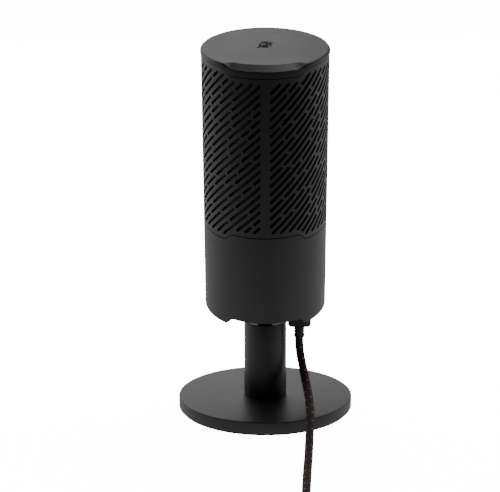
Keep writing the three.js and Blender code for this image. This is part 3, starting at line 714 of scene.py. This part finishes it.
def fade(value, low, high):
    t = min(1, max(0, (value - low) / (high - low)))
    return t * t * (3 - 2 * t)


def wave(angle, bothSides):
    away = offBack(angle)
    if bothSides:
        away = min(away, 180 - away)
    return 1 - fade(away, casing["waveStart"], casing["waveEnd"])


def seamAt(angle):
    return casing["seam"] + casing["step"] * wave(angle, True)


def topAt(radius, angle):
    return cap["middle"] + cap["slope"] * radius * math.cos(math.radians(angle))


def capEdgeAt(radius, angle):
    return topAt(radius, angle) - cap["band"] - cap["dip"] * wave(angle, False)


def makeLowerShell():
    outer, inner, half = casing["radius"], casing["radius"] - casing["shellWall"], casing["gap"] / 2

    def rimAt(angle):
        return casing["step"] * wave(angle, True)

    def edgeAt(angle):  # the rim's chamfer is widest on the steps
        w = wave(angle, True)
        return casing["rimEdge"] + casing["rampEdge"] * 4 * w * (1 - w)

    rings = [
        lambda a: (inner, rimAt(a) + 0.2 * mm),
        lambda a: (inner + 0.2 * mm, rimAt(a)),
        lambda a: (outer - edgeAt(a), rimAt(a)),
        lambda a: (outer, rimAt(a) + edgeAt(a)),
        lambda a: (outer, rimAt(a) + 12 * mm),
        lambda a: (outer, seamAt(a) - 12 * mm),
        lambda a: (outer, seamAt(a) - half - 0.12 * mm),
        lambda a: (outer - 0.12 * mm, seamAt(a) - half),
        lambda a: (inner, seamAt(a) - half),
        lambda a: (inner, rimAt(a) + 0.2 * mm),
    ]
    shell = turned("lowerShell", rings, casing["segments"])
    r, start, stop = casing["dialHole"], casing["dialHoleFrom"], casing["dialHoleTo"]
    hole = turned("hole", [(0, start), (r, start), (r, stop), (0, stop)], 96)
    carve(shell, settle(hole, toFront))
    finishPiece(settle(shell, bodyPlace), "shell_plastic", "microphone", "lower_shell")


makeLowerShell()
print("lower shell")

# The grille's slots lie on lines at 45 degrees, cut short by the ribs, the seam and the cap.
grille = {
    "wall": 1.6 * mm, "slotWidth": 1.3 * mm, "chamfer": 0.15 * mm, "flare": 0.3 * mm, "through": 0.8 * mm,
    "pitch": 4.57 * mm, "bridge": 1.4 * mm, "least": 2.4 * mm, "shortest": 5 * mm, "usual": 13 * mm,
    "longest": 25 * mm, "rib": 2.45 * mm, "border": 2.75 * mm, "firstSlot": 138.4 * mm, "lines": (-24, 42),
    "endChance": 0.35, "tries": 10, "seed": 23,
}


def shareLine(start, stop, chance):  # splits one line of the pattern into slots
    pieces, at = [], start
    while True:
        left = stop - at
        tight = left < 2 * grille["shortest"] + grille["bridge"]
        if tight or (left <= grille["longest"] and chance.random() < grille["endChance"]):
            pieces.append((at, stop))
            return pieces
        limit = min(grille["longest"], left - grille["bridge"] - grille["shortest"])
        size = min(limit, chance.triangular(grille["shortest"], grille["longest"], grille["usual"]))
        pieces.append((at, at + size))
        at += size + grille["bridge"]


def slotLayout():
    chance = random.Random(grille["seed"])
    radius, pitch = casing["radius"], grille["pitch"]
    halfRound = math.pi * radius
    stride, slots = 0.1 * mm, []
    for side in (-1, 1):
        near = side * grille["rib"]
        far = side * (halfRound - grille["rib"])
        low, high = min(near, far), max(near, far)
        before = []
        for line in range(*grille["lines"]):
            zero = grille["firstSlot"] - line * pitch  # height of the line where it meets the rib
            steps = int((high - low) / stride)
            inside = []
            for i in range(steps + 1):
                arc = low + i * stride
                z = zero + arc - near
                angle = math.degrees(arc / radius)
                fits = seamAt(angle) + grille["border"] < z < capEdgeAt(radius, angle) - grille["border"]
                inside.append(fits)
            runs, begin = [], None
            for i, fits in enumerate(inside + [False]):
                if fits and begin is None:
                    begin = i
                if not fits and begin is not None:
                    runs.append((low + begin * stride, low + (i - 1) * stride))
                    begin = None
            breaks = []
            for first, last in runs:
                a, b = first * math.sqrt(2), last * math.sqrt(2)
                if b - a < grille["least"]:
                    continue
                tries = [shareLine(a, b, chance) for _ in range(grille["tries"])]
                best = max(tries, key=lambda pieces: spread(pieces, before))
                breaks += [piece[1] / math.sqrt(2) for piece in best[:-1]]
                for p, q in best:
                    middle = (p + q) / 2 / math.sqrt(2)
                    slots.append((middle, zero + middle - near, q - p))
            before = breaks
    return slots


def spread(pieces, before):  # how far the bridges stand from those of the line above
    gaps = [abs(piece[1] / math.sqrt(2) - b - grille["pitch"] / 2) for piece in pieces[:-1] for b in before]
    crowded = 0.1 * mm if len(pieces) > 2 else 0
    return min(gaps + [6 * mm]) - crowded


def makeSlotCutter():  # one flat slot with eleven sections along it and three levels
    bpy.ops.object.select_all(action="DESELECT")
    bpy.ops.mesh.primitive_grid_add(x_subdivisions=10, y_subdivisions=1, size=1)
    cutter = named(bpy.context.object, "slotCutter")
    bpy.ops.object.mode_set(mode="EDIT")
    bpy.ops.mesh.select_all(action="SELECT")
    for _ in range(2):
        bpy.ops.mesh.extrude_region_move(TRANSFORM_OT_translate={"value": (0, 0, 1)})
    bpy.ops.mesh.select_all(action="SELECT")
    bpy.ops.mesh.normals_make_consistent(inside=False)
    bpy.ops.object.mode_set(mode="OBJECT")
    return cutter


# A cutter laid round the wall, with round ends and a mouth that widens outwards.
def bentSlot(cutter, middle, height, length):
    mesh = cutter.data.copy()
    radius, half = casing["radius"], grille["slotWidth"] / 2
    straight = length / 2 - half
    levels = [
        (-grille["wall"] - grille["through"], half),
        (-grille["chamfer"], half),
        (grille["flare"], half + grille["chamfer"] + grille["flare"]),
    ]
    turns = (78, 52, 26, 0)
    for vertex in mesh.vertices:
        column = round((vertex.co.x + 0.5) * 10)
        side = 1 if vertex.co.y > 0 else -1
        out, width = levels[round(vertex.co.z)]
        end = -1 if column < 5 else 1
        place = column if end < 0 else 10 - column
        if place < 4:
            turn = math.radians(turns[place])
            u = end * (straight + width * math.sin(turn))
            v = side * width * math.cos(turn)
        else:
            u = straight * (column - 5) / 2
            v = side * width
        arc = middle + (u - v) / math.sqrt(2)
        z = height + (u + v) / math.sqrt(2)
        angle = arc / radius
        vertex.co = ((radius + out) * math.sin(angle), -(radius + out) * math.cos(angle), z)
    piece = bpy.data.objects.new("slot", mesh)
    bpy.context.scene.collection.objects.link(piece)
    return piece


def makeGrille():
    outer, half, e = casing["radius"], casing["gap"] / 2, 0.12 * mm
    inner = outer - grille["wall"]
    rings = [
        lambda a: (inner, seamAt(a) + half),
        lambda a: (outer - e, seamAt(a) + half),
        lambda a: (outer, seamAt(a) + half + e),
        lambda a: (outer, seamAt(a) + 2.2 * mm),
        lambda a: (outer, capEdgeAt(outer, a) - 2.2 * mm),
        lambda a: (outer, capEdgeAt(outer, a) - half - e),
        lambda a: (outer - e, capEdgeAt(outer, a) - half),
        lambda a: (inner, capEdgeAt(inner, a) - half),
        lambda a: (inner, seamAt(a) + half),
    ]
    wall = turned("grille", rings, casing["segments"])
    slots = slotLayout()
    cutter = makeSlotCutter()
    cutters = [bentSlot(cutter, *slot) for slot in slots]
    bpy.data.objects.remove(cutter)
    carve(wall, joined(cutters, "allSlots"))
    weld(wall, 1e-6)
    finishPiece(settle(wall, bodyPlace), "grille_plastic", "microphone", "grille")
    print("slots", len(slots), "grille faces", len(wall.data.polygons))


makeGrille()

liner = {"radius": 30 * mm, "wall": 0.8 * mm, "lap": 1.8 * mm, "room": 0.4 * mm}


def makeLiner():  # it reaches from below the seam up to the cap's skirt, so that no slot shows daylight
    outer, inner, low = liner["radius"], liner["radius"] - liner["wall"], casing["seam"] - liner["lap"]

    def highAt(angle):
        return capEdgeAt(outer, angle) - cap["skirt"] - liner["room"]

    rings = [
        (inner, low),
        (outer, low),
        lambda a: (outer, (low + highAt(a)) / 2),
        lambda a: (outer, highAt(a)),
        lambda a: (inner, highAt(a)),
        (inner, low),
    ]
    acousticLiner = turned("acousticLiner", rings, casing["segments"])
    finishPiece(settle(acousticLiner, bodyPlace), "liner_foam", "microphone", "foam_liner")


makeLiner()
print("grille and liner")


def makeCap():  # a lid with a sloping top and a flat facet at the back
    r = cap["radius"]
    skirtOuter = casing["radius"] - grille["wall"] - casing["gap"]
    skirtInner = skirtOuter - 1.6 * mm
    half = casing["gap"] / 2

    def dropAt(angle):
        return cap["facetDrop"] * (1 - fade(offBack(angle), cap["facetFrom"], cap["facetTo"]))

    def roundAt(angle):
        return cap["round"] + (cap["facetRound"] - cap["round"]) * dropAt(angle) / cap["facetDrop"]

    def facetAt(angle):
        away = offBack(angle)
        edge = cap["facetRadius"] + mm * (away / 32) ** 2
        if away < 60:
            edge = max(edge, cap["facetChord"] / math.cos(math.radians(away)))
        return min(edge, r - cap["round"])

    def corner(turn):
        def ring(angle):
            size = roundAt(angle)
            a = math.radians(turn)
            base = topAt(r, angle) - dropAt(angle) - size
            return (r - size + size * math.cos(a), base + size * math.sin(a))
        return ring

    rings = [
        (0, cap["middle"] - cap["wall"]),
        lambda a: (25 * mm, topAt(25 * mm, a) - cap["wall"]),
        lambda a: (skirtInner, topAt(skirtInner, a) - cap["wall"] - dropAt(a)),
        lambda a: (skirtInner, capEdgeAt(skirtInner, a) - cap["skirt"]),
        lambda a: (skirtOuter, capEdgeAt(skirtOuter, a) - cap["skirt"]),
        lambda a: (skirtOuter, capEdgeAt(r, a) + half),
        lambda a: (r - 0.2 * mm, capEdgeAt(r, a) + half),
        lambda a: (r, capEdgeAt(r, a) + half + 0.2 * mm),
        *[corner(turn) for turn in range(0, 91, 10)],
        lambda a: (facetAt(a), topAt(facetAt(a), a)),
        lambda a: (facetAt(a) - 0.25 * mm, topAt(facetAt(a) - 0.25 * mm, a)),
        (0, cap["middle"]),
    ]
    piece = turned("topCap", rings, casing["segments"])
    finishPiece(settle(piece, bodyPlace), "cap_plastic", "microphone", "top_cap", smooth=13)


makeCap()

# The mark on the cap is a plain microphone with a slash; its points are in millimetres.
holderArc = [(2.7 * math.cos(math.radians(a)), 2.7 * math.sin(math.radians(a))) for a in range(0, 181, 12)]
mark = {
    "forward": 3 * mm, "above": 0.01 * mm, "flatness": 0.035,
    "strokes": {
        "head": ([(0, -4.2), (0, -4), (0, -0.6), (0, -0.4)], 3.2 * mm),
        "holder": ([(2.7, -1.6), *holderArc, (-2.7, -1.6)], 1.2 * mm),
        "stem": ([(0, 2.7), (0, 4.4)], 1.5 * mm),
        "foot": ([(-2.2, 4.6), (2.2, 4.6)], 1.6 * mm),
        "slash": ([(-3.9, -4.3), (3.7, 3.9)], 1.5 * mm),
    },
}


def makeMark():
    def stroke(name, points, width):
        line = bpy.data.curves.new(name, "CURVE")
        line.dimensions = "3D"
        line.bevel_depth = width / 2
        line.bevel_resolution = 3
        line.use_fill_caps = True
        spline = line.splines.new("POLY")
        spline.points.add(len(points) - 1)
        for point, (x, y) in zip(spline.points, points):
            point.co = (x * mm, y * mm, 0, 1)
        piece = bpy.data.objects.new(name, line)
        bpy.context.scene.collection.objects.link(piece)
        pick(piece)
        bpy.ops.object.convert(target="MESH")
        return bpy.context.object

    strokes = [stroke(name, points, width) for name, (points, width) in mark["strokes"].items()]
    piece = joined(strokes, "muteMark")
    flat = Matrix.Diagonal((1, 1, mark["flatness"], 1))
    slope = Matrix.Rotation(-math.atan(cap["slope"]), 4, "X")
    onTop = Matrix.Translation((0, 0, cap["middle"] + mark["above"])) @ slope
    settle(piece, bodyPlace @ onTop @ Matrix.Translation((0, mark["forward"], 0)) @ flat)
    weld(piece)
    finishPiece(piece, "mark_ink", "microphone", "mute_mark")


makeMark()
print("cap and mark")

# The dial at the front turns in a bezel, in front of a ring that lights up.
dial = {
    "radius": 10 * mm, "back": 33 * mm, "face": 38.6 * mm, "grooves": 60, "grooveDepth": 0.22 * mm,
    "bore": 3 * mm, "boreDeep": 3.2 * mm,
    "bezelGap": 0.3 * mm, "bezelWide": 1.6 * mm, "bezelLow": 27.7 * mm, "bezelHigh": 33.6 * mm,
    "bezelEdge": 0.4 * mm,
    "ringInner": 5.5 * mm, "ringLow": 30.7 * mm, "ringHigh": 32.1 * mm, "ringEdge": 0.2 * mm,
}


def makeDial():
    r, back, face, bore = dial["radius"], dial["back"], dial["face"], dial["bore"]

    def knurled(radius, height):
        def ring(angle):
            phase = (angle * dial["grooves"] / 360) % 1
            return (radius - dial["grooveDepth"] * (0.5 + 0.5 * math.cos(math.tau * phase)), height)
        return ring

    boreEnd = back + dial["boreDeep"]
    rings = [
        (bore, back),
        (r - 0.7 * mm, back),
        knurled(r - 0.25 * mm, back + 0.3 * mm),
        knurled(r, back + 0.6 * mm),
        knurled(r, face - 1.5 * mm),
        (r - 0.35 * mm, face - 1.1 * mm),
        *fillet(r - 1.05 * mm, face - 0.7 * mm, 0.7 * mm, 0, 90, 6),
        (r - 1.6 * mm, face),  # from here the face is slightly hollow
        (r - 2.1 * mm, face - 0.18 * mm),
        (r * 0.5, face - 0.32 * mm),
        (0, face - 0.38 * mm),
        (0, boreEnd),
        (bore, boreEnd),
        (bore, back),
    ]
    knob = turned("dialKnob", rings, 360)
    finishPiece(settle(knob, dialPlace), "dial_plastic", "dial_knob", "dial")

    inner, outer = r + dial["bezelGap"], r + dial["bezelWide"]
    low, high, e = dial["bezelLow"], dial["bezelHigh"], dial["bezelEdge"]
    rings = [(inner, low), (outer, low)] + fillet(outer - e, high - e, e, 0, 90, 4)
    rings += [(inner + e, high), (inner, high - e), (inner, low)]
    bezel = turned("dialBezel", rings, 120)
    finishPiece(settle(bezel, dialPlace), "plate_plastic", "microphone", "dial_bezel")

    inner, low, high, e = dial["ringInner"], dial["ringLow"], dial["ringHigh"], dial["ringEdge"]
    rings = [(inner, low), (r, low), (r, high - e), (r - e, high)]
    rings += [(inner + e, high), (inner, high - e), (inner, low)]
    lightRing = turned("lightRing", rings, 120)
    finishPiece(settle(lightRing, dialPlace), "light_ring", "microphone", "dial_light_ring")


makeDial()
print("dial")

# The pieces that stay as they are get the finish of their slot.
slotOf = {part["node"]: part["material_slot"] for part in frame["record"]["subparts"]}
for node, piece in frame["nodes"].items():
    piece.data.materials.clear()
    piece.data.materials.append(finishes[slotOf[node]])
print("frame finishes")

# White paper, bright where the camera sees it. For other rays it glows with a painted pool of light, dim in
# front of the object and bright under and behind it, so it lights the object less from the camera's side.
ground = {
    "size": 14, "centre": (0, 2, -0.0002), "fadeStart": 1.79, "fadePerMetre": 8, "near": 0.02, "far": 0.72,
    "pool": 0.85, "matt": 0.4, "seenMatt": 2.5, "seenGlow": 14,
}


def makeFloor():
    bpy.ops.object.select_all(action="DESELECT")
    bpy.ops.mesh.primitive_plane_add(size=ground["size"], location=ground["centre"])
    floor = named(bpy.context.object, "floor")
    bpy.ops.object.transform_apply(location=True, rotation=True, scale=True)
    paper = Finish("whitePaper")
    seen = paper.node("ShaderNodeLightPath", {}, {}, "Is Camera Ray")
    where = paper.node("ShaderNodeSeparateXYZ", {}, {0: paper.place()}, "Y")
    rise = {0: ground["fadeStart"], 1: where * ground["fadePerMetre"]}
    share = paper.node("ShaderNodeMath", {"operation": "ADD", "use_clamp": True}, rise)
    # painted pool of light: the glow that the object sees from the paper fades from dim in front of it to
    # bright under and behind it
    tone = paper.blend(share, grey(ground["near"]), grey(ground["far"]))
    matt = paper.node("ShaderNodeBsdfDiffuse", {}, {"Color": grey(ground["matt"])})
    pool = paper.node("ShaderNodeEmission", {}, {"Color": tone, "Strength": ground["pool"]})
    plain = paper.node("ShaderNodeAddShader", {}, {0: matt, 1: pool})
    lit = paper.node("ShaderNodeBsdfDiffuse", {}, {"Color": grey(ground["seenMatt"])})
    glow = paper.node("ShaderNodeEmission", {}, {"Strength": ground["seenGlow"]})
    bright = paper.node("ShaderNodeAddShader", {}, {0: lit, 1: glow})
    mixed = paper.node("ShaderNodeMixShader", {}, {0: seen, 1: plain, 2: bright})
    paper.tree.nodes.remove(paper.shader)
    paper.tree.links.new(mixed.socket, paper.tree.nodes["Material Output"].inputs["Surface"])
    floor.data.materials.append(paper.material)


def lamp(name, place, target, size, power):
    bpy.ops.object.light_add(type="AREA", location=place)
    light = bpy.context.object
    light.name = name
    light.data.shape = "RECTANGLE"
    light.data.size, light.data.size_y = size
    light.data.energy = power
    light.rotation_euler = (Vector(target) - Vector(place)).to_track_quat("-Z", "Y").to_euler()
    light.visible_camera = False


makeFloor()
lamps = {  # place, target, size, power
    "topBox": ((-0.35, 0.75, 0.95), (0, 0, 0.12), (1.1, 0.7), 4.6),
    "backPanel": ((-0.2, 1.7, 0.45), (0, 0, 0.05), (2.4, 0.5), 6.5),
    "frontFill": ((0, -1.3, 0.7), (0, 0, 0.1), (1.2, 0.6), 0.06),
    "overhead": ((0.4, 0.3, 1.2), (0, 0, 0.2), (0.7, 0.5), 3.6),
    "leftBox": ((-0.95, 0.45, 0.35), (0, 0, 0.11), (0.5, 0.9), 2.4),
    "rightBox": ((0.95, 0.45, 0.35), (0, 0, 0.11), (0.5, 0.9), 2.4),
}
for name, values in lamps.items():
    lamp(name, *values)

# The world is as white as the paper where the camera sees it, and dim as a light.
air = {"seen": 14, "dim": 0.03}
world = bpy.data.worlds.new("studio")
world.use_nodes = True
sky = world.node_tree
ray = sky.nodes.new("ShaderNodeLightPath")
level = sky.nodes.new("ShaderNodeMath")
level.operation = "MULTIPLY_ADD"
level.inputs[1].default_value = air["seen"]
level.inputs[2].default_value = air["dim"]
sky.links.new(ray.outputs["Is Camera Ray"], level.inputs[0])
sky.links.new(level.outputs[0], sky.nodes["Background"].inputs["Strength"])
sky.nodes["Background"].inputs["Color"].default_value = (1, 1, 1, 1)
bpy.context.scene.world = world
print("floor and lights")
